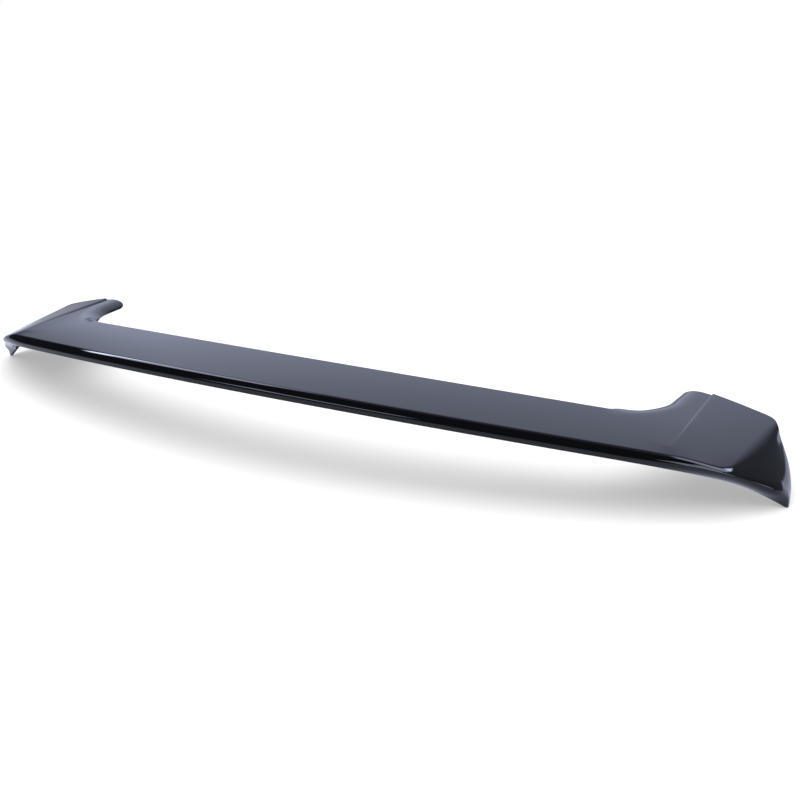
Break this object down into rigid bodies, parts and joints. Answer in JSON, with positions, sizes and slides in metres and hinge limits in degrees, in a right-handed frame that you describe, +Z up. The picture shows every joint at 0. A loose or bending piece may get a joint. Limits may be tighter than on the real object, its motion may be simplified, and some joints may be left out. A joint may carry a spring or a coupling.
{
  "type": "tailgate spoiler",
  "caption": "Glossy black one-piece tailgate spoiler: a long bowed blade with a folded rear lip, and a wing with a down-turned pointed fin at each end.",
  "frame": {"origin": "on the mirror plane, on the underside of the wall in the blade's front margin, 10 mm behind the middle of its front edge", "axes": "+X across the car along the blade, +Y towards the car's front, +Z up; the plane X = 0 is the mirror plane"},
  "size_m": [1.2002, 0.3035, 0.1201],
  "materials": {
    "gloss_black": "piano black: deep black ABS under a smooth clear lacquer, mirror gloss with a faint orange-peel ripple"
  },
  "bodies": {
    "root": {"spoiler_shell": "gloss_black"}
  },
  "joints": []
}
